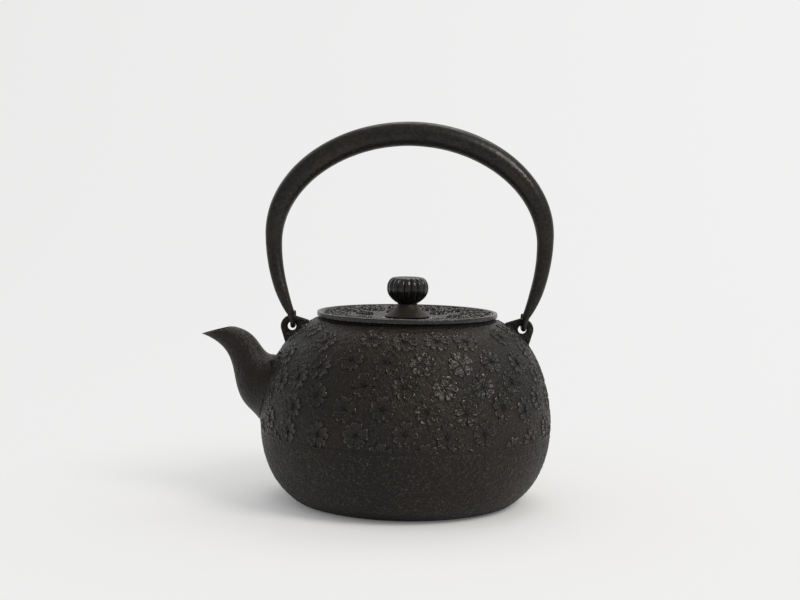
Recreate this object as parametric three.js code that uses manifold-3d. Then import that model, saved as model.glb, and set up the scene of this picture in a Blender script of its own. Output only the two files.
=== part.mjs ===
// Cast iron kettle: a round body cast in one piece with its spout and two ears, a dished lid with a
// turning knob, and a hollow bail that hooks through the ears. Millimetres, +Z up. The origin is the
// centre of the flat base, the spout points to -X and the bail stands in the XZ plane.
import * as THREE from "three";
import { mergeVertices } from "three/addons/utils/BufferGeometryUtils.js";
import Module from "manifold-3d";

const wasm = await Module();
wasm.setup();

// Body casting
const bellyRadius = 77.9;
const bellyHeight = 42; // height of the widest line above the base
const baseRadius = 52.8; // where the flat base starts to turn up
const baseRunOut = 10; // pull of the outline where it leaves the base
const lowerFullness = 27.3; // pull of the outline below the widest line
const upperFullness = 22; // pull of the outline above the widest line
const shoulderHeight = 97.4; // top of the shoulder, at the foot of the mouth's rim
const shoulderRunOut = 21; // pull of the outline along the shoulder
const shoulderSlope = 14.7; // degrees that the shoulder falls where it leaves the rim
const bodyWall = 3.2;
const floorThickness = 4;
const floorCorner = 2.5; // how far the flat floor inside reaches past baseRadius
const cornerMargin = 1; // points of the inner wall nearer than this to floor or mouth are left out
const footRingWidth = 9; // flat ring that the kettle rests on, inside baseRadius
const baseHollow = 0.8; // the base between the ring and the casting scar is this much higher
const castingScarRadius = 13; // round scar of the casting gate, level with the ring
const hollowBevel = 1.2;

// Mouth and the flat land that carries the lid
const mouthRadius = 41.8;
const mouthLand = 5;
const rimRise = 1.2; // height of the rim's outer wall above the shoulder
const rimFoot = 0.8; // step in plan between the shoulder and the rim's wall
const rimFootRise = 0.2; // and how much that step rises
const edgeBreak = 0.4; // small bevel on cast edges
const cutOvershoot = 1; // how far a cut runs past the surface that it opens

// Spout, seen from the side. Each point is [distance out from the widest line, height above it].
const spoutRootTop = [-11.9, 33.5];
const spoutThroatPull = [3.3, 32.7];
const spoutCrestPull = [-2.1, 47.2];
const mouthBack = [15.7, 49.9];
const spoutRootBottom = [-4.9, -0.5];
const spoutBellyPull = [26, 11.4];
const spoutChinPull = [2.8, 35];
const lipTip = [32.1, 45.8];
const spoutRootHalfWidth = 19;
const spoutMidHalfWidth = 10.5;
const spoutNeckHalfWidth = 6.6;
const lipHalfWidth = 6.2;
const lipPointing = 0.16; // how much narrower the mouth gets towards its tip
const spoutWall = 2.4;
const lipWall = 1.5;
const boreReach = 4; // how far inside its root the spout's bore starts

// Ears
const earReach = 14.9; // from the rim's outer wall to the middle of the hole
const earDrop = 4.8; // the hole is this far below the top of the shoulder
const earHoleRadius = 2.3;
const earRimWidth = 3.7; // metal between the hole and the ear's edge
const earThickness = 3.5;
const earEdgeBevel = 1;
const earInset = 9; // how far the ear's foot reaches in towards the axis, past the hole
const earFootDrop = 9.5; // how far the ear's foot reaches down, below the hole
const earFootSpread = 2.6; // how far the ear's lower edge draws in over that drop
const earArcStart = -12; // degrees where the round edge begins and ends
const earArcEnd = 104;

// Lid
const lidOverhang = 1.4; // lid edge beyond the rim's outer wall
const lidSeatGap = 0.3;
const lidRimThickness = 2.45;
const lidThickness = 3;
const lidDish = 2.9; // how far the middle of the top lies below the rim band
const lidDishPower = 1.6;
const lidRimBand = 1.8; // width of the smooth band round the edge
const flangeClearance = 0.8; // between the flange and the mouth, on the radius
const flangeThickness = 2.6;
const flangeDepth = 5.5;

// Knob, its seat and its washer
const shankRadius = 2;
const shankClearance = 0.4; // round the shank, in the seat, the lid and the washer
const stackGap = 0.3; // between each two pieces on the shank
const seatRadius = 12.2;
const seatStep = 0.5; // thickness of the thin step round the seat's foot
const seatConeRadius = 11.4;
const seatNeckRadius = 5.4;
const seatHeight = 6.8;
const seatFlare = 1.5; // how strongly the seat's side curves in
const knobRadius = 11.2;
const knobLowerHeight = 8.4; // from the neck to the widest line
const knobUpperHeight = 5.5; // from there to the crown
const knobNeckRadius = 5.4;
const knobBowl = 2.4; // how soon the bud widens above its neck
const knobCrownRadius = 6.8; // radius of the ring round the hollow on top
const knobCrownHollow = 1.1;
const crownLipShare = 0.72; // of the crown's radius, halfway down into the hollow
const crownFloorShare = 0.4; // and at its floor
const fluteCount = 18;
const fluteDepth = 0.9;
const fluteRoundness = 0.6; // below 1 the ribs are full and the grooves narrow
const washerRadius = 6;
const washerThickness = 1.2;
const peenRadius = 3.4;
const peenThickness = 1.7;

// Bail. Rises and widths are taken from the middle of the ears' holes to the bar's centre line.
const bailRise = 103.3;
const bailCrownPull = 38.4;
const bailFlare = 10.7; // outside the holes at the widest place
const bailWidestRise = 47.1;
const bailShoulderPull = 31.7;
const bailLegPull = 15.2;
const bailAnkleOut = 6.2; // pull of the centre line where the legs draw in
const bailAnkleRise = 17.8;
const bailShankOut = 0.9;
const bailShankRise = 7.4;
const crownThickness = 12.9;
const crownHold = 3.3; // how long the crown's thickness lasts towards the legs
const widestThickness = 8.9;
const ankleThickness = 7.1;
const ankleShare = 0.62; // share of the leg above the ankle, which is hollow
const shankThickness = 4.1;
const shankTaper = 1.2;
const bailWall = 1.8;
const bailSeamWidth = 0.7;
const hookThickness = 2.6;
const hookHoleGap = 0.3; // where the hook comes nearest to the edge of its hole
const hookRestAngle = 30; // degrees above level, towards +X, of that nearest place
const hookPlateGap = 1.4; // between the ear's faces and the bar before and behind it
const hookBendRadius = 2.6;
const hookTipLength = 3.2; // straight end behind the ear
const hookTipTaper = 0.9; // thickness at the end, as a share of the hook's
const hookTipRound = 0.45; // and on the small rounded face that closes it
const hookTipRise = 0.3; // height of that rounding, as a share of the hook's thickness

// Facets
const bodySides = 60;
const cavitySides = 45;
const lidSides = 54;
const seatSides = 30;
const washerSides = 20;
const barSides = 14;
const boreSides = 10;
const spoutSides = 22;
const flutePoints = 3; // points round each flute
const lowerSteps = 8; // of the outline below the widest line
const upperSteps = 11;
const innerLowerSteps = 6;
const innerUpperSteps = 8;
const spoutSteps = 12;
const earCurveSteps = 8;
const earBevelSteps = 2;
const dishSteps = 5;
const underSteps = 3;
const coneSteps = 6;
const bowlShares = [0, 0.08, 0.2, 0.38, 0.65, 1]; // rings from the knob's neck to its widest line
const crownAngles = [35, 55, 75, 90]; // degrees of the rings from there to the crown
const archSteps = 14;
const legSteps = 9;
const bendSteps = 3;

// Plain preview colours
const looks = {
  body: { color: 0x2d2a27, roughness: 0.78, metalness: 0.5 },
  lid: { color: 0x2f2d2a, roughness: 0.62, metalness: 0.55 },
  seat: { color: 0x2b2a28, roughness: 0.55, metalness: 0.6 },
  knob: { color: 0x2a2927, roughness: 0.5, metalness: 0.6 },
  washer: { color: 0x2b2826, roughness: 0.6, metalness: 0.6 },
  bail: { color: 0x292826, roughness: 0.5, metalness: 0.65 },
};

const radians = THREE.MathUtils.degToRad;
const lerp = THREE.MathUtils.lerp;
const xy = ([x, y]) => new THREE.Vector2(x, y);
const steps = (count) => Array.from({ length: count + 1 }, (_, i) => i / count); // shares from 0 to 1

// Solids and meshes

function toSolid(geometry) {
  const bare = geometry.clone();
  bare.deleteAttribute("normal");
  bare.deleteAttribute("uv");
  const merged = mergeVertices(bare, 1e-4);
  const vertProperties = merged.attributes.position.array;
  const triVerts = new Uint32Array(merged.index.array);
  return new wasm.Manifold(new wasm.Mesh({ numProp: 3, vertProperties, triVerts }));
}

function toGeometry(solid) {
  const { vertProperties, triVerts } = solid.getMesh();
  const geometry = new THREE.BufferGeometry();
  geometry.setAttribute("position", new THREE.BufferAttribute(vertProperties, 3));
  geometry.setIndex(new THREE.BufferAttribute(triVerts, 1));
  return geometry;
}

// A solid of revolution about Z from a profile of (radius, height) points.
function revolve(profile, sides) {
  const points = profile.map(xy);
  const turned = new THREE.LatheGeometry(points, sides).rotateX(Math.PI / 2);
  return outward(turned);
}

// Turns every triangle round if the closed surface holds a negative volume.
function outward(geometry) {
  const solid = toSolid(geometry);
  if (solid.volume() > 0) return solid;
  const index = geometry.index.array;
  for (let i = 0; i < index.length; i += 3) [index[i], index[i + 1]] = [index[i + 1], index[i]];
  return toSolid(geometry);
}

// A closed skin over rings of equal point counts, with both ends capped.
function loft(rings) {
  const count = rings[0].length;
  const middle = (ring) =>
    ring.reduce((sum, point) => sum.add(point), new THREE.Vector3()).divideScalar(count);
  const points = [...rings.flat(), middle(rings[0]), middle(rings.at(-1))];
  const firstHub = points.length - 2;
  const lastHub = points.length - 1;
  const faces = [];
  for (let j = 0; j < count; j++) {
    const next = (j + 1) % count;
    for (let i = 0; i < rings.length - 1; i++) {
      const here = i * count;
      const there = here + count;
      faces.push(here + j, there + j, there + next, here + j, there + next, here + next);
    }
    const last = (rings.length - 1) * count;
    faces.push(firstHub, j, next, lastHub, last + next, last + j);
  }
  const geometry = new THREE.BufferGeometry().setFromPoints(points);
  return outward(geometry.setIndex(faces));
}

const cubic = (...points) => new THREE.CubicBezierCurve(...points.map(xy));

// Points of a plane curve moved sideways by a distance, to the left of its direction.
function offsetPoints(curve, divisions, distance) {
  return steps(divisions).map((share) => {
    const point = curve.getPoint(share);
    const along = curve.getTangent(share);
    return [point.x - along.y * distance, point.y + along.x * distance];
  });
}

// Body

const neckRadius = mouthRadius + mouthLand;
const rimTop = shoulderHeight + rimRise;
const shoulderRadius = neckRadius + rimFoot;

function bodyCurves() {
  const slope = radians(shoulderSlope);
  const lower = cubic(
    [baseRadius, 0],
    [baseRadius + baseRunOut, 0],
    [bellyRadius, bellyHeight - lowerFullness],
    [bellyRadius, bellyHeight],
  );
  const upper = cubic(
    [bellyRadius, bellyHeight],
    [bellyRadius, bellyHeight + upperFullness],
    [
      shoulderRadius + shoulderRunOut * Math.cos(slope),
      shoulderHeight - shoulderRunOut * Math.sin(slope),
    ],
    [shoulderRadius, shoulderHeight],
  );
  return { lower, upper };
}

function bodyBlank() {
  const { lower, upper } = bodyCurves();
  const ringInner = baseRadius - footRingWidth;
  const profile = [
    [0, 0],
    [castingScarRadius, 0],
    [castingScarRadius + hollowBevel, baseHollow],
    [ringInner - hollowBevel, baseHollow],
    [ringInner, 0],
    ...offsetPoints(lower, lowerSteps, 0),
    ...offsetPoints(upper, upperSteps, 0).slice(1),
    [neckRadius, shoulderHeight + rimFootRise],
    [neckRadius, rimTop - edgeBreak],
    [neckRadius - edgeBreak, rimTop],
    [0, rimTop],
  ];
  return revolve(profile, bodySides);
}

function bodyCavity() {
  const { lower, upper } = bodyCurves();
  const wall = [
    ...offsetPoints(lower, innerLowerSteps, bodyWall),
    ...offsetPoints(upper, innerUpperSteps, bodyWall).slice(1),
  ];
  const lowest = floorThickness + cornerMargin;
  const narrowest = mouthRadius + cornerMargin;
  const side = wall.filter(([radius, height]) => height > lowest && radius > narrowest);
  const throatHeight = side.at(-1)[1];
  const profile = [
    [0, floorThickness],
    [baseRadius + floorCorner, floorThickness],
    ...side,
    [mouthRadius, throatHeight],
    [mouthRadius, rimTop - edgeBreak],
    [mouthRadius + edgeBreak, rimTop],
    [mouthRadius + edgeBreak, rimTop + cutOvershoot],
    [0, rimTop + cutOvershoot],
  ];
  return revolve(profile, cavitySides);
}

const fromBelly = ([out, rise]) => [-(bellyRadius + out), bellyHeight + rise];

// One ring of the spout at a share of the way from the root to the mouth. An inset gives the bore.
function spoutRing(share, inset) {
  const top = cubic(...[spoutRootTop, spoutThroatPull, spoutCrestPull, mouthBack].map(fromBelly));
  const bottom = cubic(...[spoutRootBottom, spoutBellyPull, spoutChinPull, lipTip].map(fromBelly));
  const widths = cubic(
    [0, spoutRootHalfWidth],
    [1, spoutMidHalfWidth],
    [2, spoutNeckHalfWidth],
    [3, lipHalfWidth],
  );
  const upper = top.getPoint(share);
  const lower = bottom.getPoint(share);
  const middle = upper.clone().add(lower).multiplyScalar(0.5);
  const reach = upper.clone().sub(middle);
  const shrink = 1 - inset / reach.length();
  const halfWidth = widths.getPoint(share).y - inset;
  const pointing = lipPointing * share;
  return Array.from({ length: spoutSides }, (_, j) => {
    const turn = (2 * Math.PI * j) / spoutSides;
    const rise = Math.cos(turn) * shrink;
    const across = Math.sin(turn) * halfWidth * (1 + pointing * Math.cos(turn));
    return new THREE.Vector3(middle.x + reach.x * rise, across, middle.y + reach.y * rise);
  });
}

function spoutOuter() {
  return loft(steps(spoutSteps).map((share) => spoutRing(share, 0)));
}

// The bore starts inside the shell and ends above the mouth, so that both ends open.
function spoutBore() {
  const rings = steps(spoutSteps).map((share) => spoutRing(share, lerp(spoutWall, lipWall, share)));
  const slope = Math.atan2(mouthBack[1] - lipTip[1], lipTip[0] - mouthBack[0]);
  const up = new THREE.Vector3(-Math.sin(slope), 0, Math.cos(slope));
  const inward = new THREE.Vector3(1, 0, 0);
  const overMouth = rings.at(-1).map((point) => point.clone().addScaledVector(up, cutOvershoot));
  const insideShell = rings[0].map((point) => point.clone().addScaledVector(inward, boreReach));
  return loft([insideShell, ...rings, overMouth]);
}

const earHoleX = neckRadius + earReach;
const earHoleHeight = shoulderHeight - earDrop;

// One flat ear: a round eye on a foot that spreads into the shoulder. Side is 1 or -1.
function ear(side) {
  const radius = earHoleRadius + earRimWidth;
  const outline = new THREE.Shape();
  outline.moveTo(earHoleX - earInset, earHoleHeight - earFootDrop);
  outline.lineTo(earHoleX + radius - earFootSpread, earHoleHeight - earFootDrop);
  outline.absarc(earHoleX, earHoleHeight, radius, radians(earArcStart), radians(earArcEnd));
  outline.lineTo(earHoleX - earInset, earHoleHeight + radius - earFootSpread);
  outline.closePath();
  const eye = new THREE.Path();
  eye.absarc(earHoleX, earHoleHeight, earHoleRadius, 0, 2 * Math.PI, true);
  outline.holes.push(eye);
  const plate = new THREE.ExtrudeGeometry(outline, {
    depth: earThickness - 2 * earEdgeBevel,
    bevelThickness: earEdgeBevel,
    bevelSize: earEdgeBevel,
    bevelOffset: -earEdgeBevel,
    bevelSegments: earBevelSteps,
    curveSegments: earCurveSteps,
  });
  plate.rotateX(Math.PI / 2).translate(0, earThickness / 2 - earEdgeBevel, 0);
  if (side < 0) plate.rotateZ(Math.PI);
  return toSolid(plate);
}

function kettleBody() {
  return bodyBlank()
    .add(spoutOuter())
    .add(ear(1))
    .add(ear(-1))
    .subtract(bodyCavity())
    .subtract(spoutBore());
}

// Lid and what hangs on the knob's shank

const lidRadius = neckRadius + lidOverhang;
const lidBottom = rimTop + lidSeatGap;
const lidRimTop = lidBottom + lidRimThickness;
const lidTopCentre = lidRimTop - lidDish;
const lidUnderCentre = lidTopCentre - lidThickness;
const shankBore = shankRadius + shankClearance;

const dishHeight = (radius) => {
  const share = Math.max(0, (radius - seatRadius) / (lidRadius - lidRimBand - seatRadius));
  return lidTopCentre + (lidDish - edgeBreak) * share ** lidDishPower;
};

function lidPlate() {
  const bandRadius = lidRadius - lidRimBand;
  const flangeOuter = mouthRadius - flangeClearance;
  const flangeInner = flangeOuter - flangeThickness;
  const dishRadii = steps(dishSteps).map((share) => lerp(seatRadius, bandRadius, share));
  const underRadii = steps(underSteps).map((share) => lerp(flangeInner, seatRadius, share));
  const profile = [
    [shankBore, lidTopCentre],
    ...dishRadii.map((radius) => [radius, dishHeight(radius)]),
    [bandRadius + edgeBreak, lidRimTop],
    [lidRadius - edgeBreak, lidRimTop],
    [lidRadius, lidRimTop - edgeBreak],
    [lidRadius, lidBottom + edgeBreak],
    [lidRadius - edgeBreak, lidBottom],
    [flangeOuter, lidBottom],
    [flangeOuter, lidBottom - flangeDepth + edgeBreak],
    [flangeOuter - edgeBreak, lidBottom - flangeDepth],
    [flangeInner, lidBottom - flangeDepth],
    ...underRadii.map((radius) => [radius, dishHeight(radius) - lidThickness]),
    [shankBore, lidUnderCentre],
    [shankBore, lidTopCentre],
  ];
  return revolve(profile, lidSides);
}

const seatBottom = lidTopCentre + stackGap;
const seatTop = seatBottom + seatHeight;

function knobSeat() {
  const coneFoot = seatBottom + seatStep + seatStep / 2;
  const cone = steps(coneSteps).map((share) => {
    const draw = (1 - share) ** seatFlare;
    return [lerp(seatNeckRadius, seatConeRadius, draw), lerp(coneFoot, seatTop, share)];
  });
  const profile = [
    [shankBore, seatBottom],
    [seatRadius, seatBottom],
    [seatRadius, seatBottom + seatStep],
    [seatConeRadius + seatStep / 2, coneFoot],
    ...cone,
    [shankBore, seatTop],
    [shankBore, seatBottom],
  ];
  return revolve(profile, seatSides);
}

const washerTop = lidUnderCentre - stackGap;
const washerBottom = washerTop - washerThickness;

function knobWasher() {
  const profile = [
    [shankBore, washerTop],
    [washerRadius, washerTop],
    [washerRadius, washerBottom + edgeBreak],
    [washerRadius - edgeBreak, washerBottom],
    [shankBore, washerBottom],
    [shankBore, washerTop],
  ];
  return revolve(profile, washerSides);
}

const knobBottom = seatTop + stackGap;

// One ring of the fluted bud. Depth is how much of the flutes shows at this height.
function budRing(radius, height, depth) {
  const count = fluteCount * flutePoints;
  return Array.from({ length: count }, (_, j) => {
    const turn = (2 * Math.PI * j) / count;
    const groove = 1 - Math.abs(Math.sin((turn * fluteCount) / 2)) ** fluteRoundness;
    const reach = radius - fluteDepth * depth * groove;
    return new THREE.Vector3(reach * Math.cos(turn), reach * Math.sin(turn), height);
  });
}

function lidKnob() {
  const widestHeight = knobBottom + knobLowerHeight;
  const rings = [];
  for (const share of bowlShares) {
    const swell = 1 - (1 - share) ** knobBowl;
    const radius = lerp(knobNeckRadius, knobRadius, swell);
    rings.push(budRing(radius, lerp(knobBottom, widestHeight, share), swell));
  }
  for (const turn of crownAngles.map(radians)) {
    const radius = lerp(knobCrownRadius, knobRadius, Math.cos(turn));
    rings.push(budRing(radius, widestHeight + knobUpperHeight * Math.sin(turn), 1));
  }
  const crownTop = widestHeight + knobUpperHeight;
  rings.push(budRing(knobCrownRadius * crownLipShare, crownTop - knobCrownHollow / 2, 1 / 2));
  rings.push(budRing(knobCrownRadius * crownFloorShare, crownTop - knobCrownHollow, 0));
  const peenTop = washerBottom - stackGap;
  const shank = revolve(
    [
      [0, peenTop - peenThickness],
      [peenRadius - edgeBreak * 2, peenTop - peenThickness],
      [peenRadius, peenTop - peenThickness / 2],
      [peenRadius - edgeBreak, peenTop],
      [shankRadius, peenTop],
      [shankRadius, knobBottom + shankRadius],
      [0, knobBottom + shankRadius],
    ],
    washerSides,
  );
  return loft(rings).add(shank);
}

// Bail: half of it is worked out from the crown to the hook's tip, and mirrored.

const space = (x, y, z) => new THREE.Vector3(x, y, z);
const barBehindPlate = earThickness / 2 + hookPlateGap;
const hookRoom = earHoleRadius - hookThickness / 2 - hookHoleGap;
const hookHeight = earHoleHeight + hookRoom * Math.sin(radians(hookRestAngle));
const bailShift = hookRoom * Math.cos(radians(hookRestAngle));

// Centre points and thickness of the right half, before the bail's shift.
function bailHalf() {
  const at = (out, y, rise) => space(earHoleX + out, y, earHoleHeight + rise);
  const shankY = -(barBehindPlate + shankThickness / 2);
  const arch = new THREE.CubicBezierCurve3(
    space(0, 0, earHoleHeight + bailRise),
    space(bailCrownPull, 0, earHoleHeight + bailRise),
    at(bailFlare, 0, bailWidestRise + bailShoulderPull),
    at(bailFlare, 0, bailWidestRise),
  );
  const leg = new THREE.CubicBezierCurve3(
    at(bailFlare, 0, bailWidestRise),
    at(bailFlare, 0, bailWidestRise - bailLegPull),
    at(bailAnkleOut, shankY, bailAnkleRise),
    at(bailShankOut, shankY, bailShankRise),
  );
  const archStations = steps(archSteps).map((share) => ({
    centre: arch.getPoint(share),
    thickness: lerp(crownThickness, widestThickness, share ** crownHold),
    hollow: true,
  }));
  const legStations = steps(legSteps).slice(1).map((share) => ({
    centre: leg.getPoint(share),
    thickness: legThickness(share),
    hollow: share < ankleShare,
  }));
  return [...archStations, ...legStations, ...hookStations()];
}

function legThickness(share) {
  if (share < ankleShare) return lerp(widestThickness, ankleThickness, share / ankleShare);
  const below = (share - ankleShare) / (1 - ankleShare);
  return lerp(ankleThickness, shankThickness, below ** shankTaper);
}

// The hook goes down in front of the ear, back through its hole and up behind it.
function hookStations() {
  const bend = hookBendRadius;
  const backY = barBehindPlate + hookThickness / 2;
  const quarter = steps(bendSteps).map((share) => (share * Math.PI) / 2);
  const tipHeight = hookHeight + bend + hookTipLength;
  const down = quarter.map((turn) => [-backY + bend * (1 - Math.cos(turn)), bend * (1 - Math.sin(turn))]);
  const up = quarter.map((turn) => [backY - bend * (1 - Math.sin(turn)), bend * (1 - Math.cos(turn))]);
  const tip = [
    { height: tipHeight, share: hookTipTaper },
    { height: tipHeight + hookThickness * hookTipRise, share: hookTipRound },
  ];
  return [
    ...[...down, ...up].map(([y, rise]) => ({
      centre: space(earHoleX, y, hookHeight + rise),
      thickness: hookThickness,
      hollow: false,
    })),
    ...tip.map(({ height, share }) => ({
      centre: space(earHoleX, backY, height),
      thickness: hookThickness * share,
      hollow: false,
    })),
  ];
}

// Gives each station two directions square to the path, carried along it without twist.
function frameStations(stations) {
  let inward = space(0, 0, -1);
  stations.forEach((station, i) => {
    const before = stations[Math.max(i - 1, 0)].centre;
    const after = stations[Math.min(i + 1, stations.length - 1)].centre;
    const along = i === 0 ? space(1, 0, 0) : after.clone().sub(before).normalize();
    inward = inward.clone().addScaledVector(along, -inward.dot(along)).normalize();
    station.inward = inward;
    station.across = along.clone().cross(inward);
  });
  return stations;
}

const mirrorX = (vector) => space(-vector.x, vector.y, vector.z);

function wholeBail() {
  const right = frameStations(bailHalf());
  const left = right.slice(1).map((station) => ({
    ...station,
    centre: mirrorX(station.centre),
    inward: mirrorX(station.inward),
    across: mirrorX(station.across),
  }));
  return [...left.reverse(), ...right];
}

function barRing(station, radius, sides) {
  return Array.from({ length: sides }, (_, j) => {
    const turn = (2 * Math.PI * j) / sides;
    return station.centre
      .clone()
      .addScaledVector(station.inward, radius * Math.cos(turn))
      .addScaledVector(station.across, radius * Math.sin(turn));
  });
}

function bailHandle() {
  const stations = wholeBail();
  const bar = loft(stations.map((station) => barRing(station, station.thickness / 2, barSides)));
  const hollow = stations.filter((station) => station.hollow);
  const bore = loft(hollow.map((station) => barRing(station, station.thickness / 2 - bailWall, boreSides)));
  const halfSeam = bailSeamWidth / 2;
  const seam = loft(
    hollow.map(({ centre, inward, across, thickness }) =>
      [
        [0, -halfSeam],
        [thickness / 2 + cutOvershoot, -halfSeam],
        [thickness / 2 + cutOvershoot, halfSeam],
        [0, halfSeam],
      ].map(([deep, wide]) =>
        centre.clone().addScaledVector(inward, deep).addScaledVector(across, wide),
      ),
    ),
  );
  return bar.subtract(bore).subtract(seam).translate([bailShift, 0, 0]);
}

// Scene graph

const kettle = new THREE.Group();

function place(name, solid, look, parent) {
  const mesh = new THREE.Mesh(toGeometry(solid), new THREE.MeshStandardMaterial(look));
  mesh.name = name;
  parent.add(mesh);
}

const lidGroup = new THREE.Group();
kettle.add(lidGroup);
place("kettle_body", kettleBody(), looks.body, kettle);
place("lid_plate", lidPlate(), looks.lid, lidGroup);
place("knob_seat", knobSeat(), looks.seat, lidGroup);
place("lid_knob", lidKnob(), looks.knob, lidGroup);
place("knob_washer", knobWasher(), looks.washer, lidGroup);
place("bail_handle", bailHandle(), looks.bail, kettle);

export default kettle;
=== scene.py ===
from math import atan2, cos, exp, pi, radians, sin, sqrt, tau

import bmesh
import bpy
import numpy as np
from mathutils import Matrix, Vector, noise
from mathutils.bvhtree import BVHTree


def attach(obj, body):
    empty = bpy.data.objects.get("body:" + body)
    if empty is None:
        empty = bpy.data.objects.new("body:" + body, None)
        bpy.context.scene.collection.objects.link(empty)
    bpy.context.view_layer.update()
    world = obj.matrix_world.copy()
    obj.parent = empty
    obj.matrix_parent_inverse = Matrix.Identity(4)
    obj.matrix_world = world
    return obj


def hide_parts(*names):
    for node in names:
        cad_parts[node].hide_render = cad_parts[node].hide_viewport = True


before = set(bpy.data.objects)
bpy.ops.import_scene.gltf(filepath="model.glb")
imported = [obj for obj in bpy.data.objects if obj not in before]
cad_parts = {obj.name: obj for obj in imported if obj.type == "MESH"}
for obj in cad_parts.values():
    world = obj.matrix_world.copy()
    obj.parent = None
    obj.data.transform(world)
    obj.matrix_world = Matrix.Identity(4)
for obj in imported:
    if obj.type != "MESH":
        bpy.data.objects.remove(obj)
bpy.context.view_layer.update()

# Every length below is in millimetres and is turned into metres where a mesh is made.
MM = 0.001

# Body outline as (radius, height), from the flat base up to the rim of the mouth
BASE_RADIUS = 52.8
FOOT_RING_INNER = 43.8
BASE_HOLLOW = 0.8
HOLLOW_BEVEL = 1.2
GATE_SCAR_RADIUS = 13.0
BELLY = (77.9, 42)
RIM_FOOT = (47.6, 97.4)
SHOULDER_SLOPE = radians(14.7)
SHOULDER_PULL = 21
LOWER_OUTLINE = [(BASE_RADIUS, 0), (62.8, 0), (77.9, 14.7), BELLY]
UPPER_OUTLINE = [
    BELLY,
    (77.9, 64),
    (
        RIM_FOOT[0] + SHOULDER_PULL * cos(SHOULDER_SLOPE),
        RIM_FOOT[1] - SHOULDER_PULL * sin(SHOULDER_SLOPE),
    ),
    RIM_FOOT,
]
NECK_RADIUS = 46.8
NECK_FOOT = 97.9
MOUTH_RADIUS = 41.8
RIM_TOP = 98.6
EDGE_BREAK = 0.4
WALL = 3.2
FLOOR_TOP = 4.0
FLOOR_CORNER = 2.5
BODY_SIDES = 216

# The ground lies below the outline, and the relief comes up to it
SEAM_HEIGHT = 38.6
SEAM_LIP = 0.204
BAND_GROUND = 0.62
BAND_TOP_FADE = (95.8, 97.2)
GRAIN_GROUND = 0.4
GRAIN_FOOT_FADE = (1.0, 5.0)
GRAIN_PITCH = 1.1
GRAIN_STEP = 0.64
SHEET_HEM = -0.15
# Painted shade in the pits between the sandy grains, as a share of the dark tone
PIT_SHADE = 0.4
# Painted shade towards the foot, where the kettle meets the floor
FOOT_SHADE = 0.6
ROOT_FILLET = 7

# Spout outlines from root to mouth, seen from the side
SPOUT_TOP = [(-66, 75.5), (-81.2, 74.7), (-75.8, 89.2), (-93.6, 91.9)]
SPOUT_BOTTOM = [(-73, 41.5), (-103.9, 53.4), (-80.7, 77), (-110, 87.8)]
SPOUT_HALF_WIDTHS = [(0, 19), (1, 10.5), (2, 6.6), (3, 6.2)]
SPOUT_POINTING = 0.16
SPOUT_WALL = 2.4
LIP_WALL = 1.5
BORE_REACH = 4

# Ears
EAR_X = 61.7
EAR_Z = 92.6
EAR_HOLE = 2.3
EAR_EDGE = 6.0
EAR_THICKNESS = 3.5
EAR_BEVEL = 1.0
EAR_INSET = 9
EAR_BACK_FALL = 2.6
EAR_FOOT_DROP = 9.5
EAR_FOOT_SPREAD = 2.6

# Lid
LID_RADIUS = 48.2
LID_BOTTOM = 98.9
LID_TOP = 101.35
LID_CENTRE_TOP = 98.45
LID_THICKNESS = 3.0
LID_EDGE = 0.45
DISH_RADIUS = LID_RADIUS - 1.8
DISH_EDGE_DROP = 0.4
DISH_POWER = 1.6
LID_GROUND = 0.5
FLANGE_OUTER = 41.0
FLANGE_INNER = 38.4
FLANGE_BOTTOM = 93.4

# What hangs on the knob's shank, and the knob
SHANK_RADIUS = 2.0
SHANK_BORE = 2.4
SEAT_RADIUS = 12.2
SEAT_BOTTOM = 98.75
SEAT_TOP = 105.55
SEAT_CONE_RADIUS = 11.4
SEAT_FLARE = 1.5
WASHER_RADIUS = 6.0
WASHER_TOP = 95.15
WASHER_BOTTOM = 93.95
PEEN_TOP = 93.65
PEEN_BOTTOM = 91.95
KNOB_BOTTOM = 105.85
KNOB_RADIUS = 11.2
KNOB_LOWER_HEIGHT = 8.4
KNOB_UPPER_HEIGHT = 5.5
NECK_OF_KNOB = 5.4
CROWN_RADIUS = 6.8
# Radius, drop and depth of the flutes, down into the hollow of the crown
CROWN_HOLLOW = (
    (6.2, 0.05, 0.9), (5.5, 0.3, 0.7), (4.8, 0.62, 0.5),
    (4.0, 0.9, 0.3), (2.8, 1.06, 0.1), (1.4, 1.1, 0),
)
FLUTES = 18
BUD_SIDES = FLUTES * 14
FLUTE_DEPTH = 0.95
FLUTE_ROUNDNESS = 0.6

# Bail, as rises and widths from the ears' holes
BAIL_SHIFT = 0.606
BAIL_RISE = 103.3
CROWN_THICKNESS = 12.9
LEG_THICKNESS = 8.9
TUBE_END_THICKNESS = 7.1
DRAWN_THICKNESS = 4.1
TUBE_END = 0.62
HOOK_WIRE = 2.6
HOOK_BEND = 2.6
HOOK_BACK = 4.45
BAIL_WALL = 1.8
SLIT_HALF_WIDTH = 0.35

# One blossom laid flat. Each petal ends in two round lobes, and a raised rim runs along its edge.
LOBE_REACH = 5.4
LOBE_RADIUS = 1.66
LOBE_TURN = 16.0
BLOSSOM_REACH = LOBE_REACH + LOBE_RADIUS
PETAL_HALF_TURN = 35.4
PETAL_ROOT = 0.45
RIM_INSET = 0.66
SUNK = -0.7

# How the relief is spread, and how high it stands
BLOSSOM_SPACING = 14.0
BLOSSOM_TRIES = 9000
SPECKS = 6000
STIPPLE_PITCH = 1.25
BAND_RELIEF = 0.58
SPECK_RELIEF = 0.42
LID_RELIEF = 1.1
STIPPLE_RELIEF = 0.5
# Count, radius and size of the lid's two rings of blossoms
LID_RINGS = ((15, 38.6, 1.1), (7, 25.6, 0.72))
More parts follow.
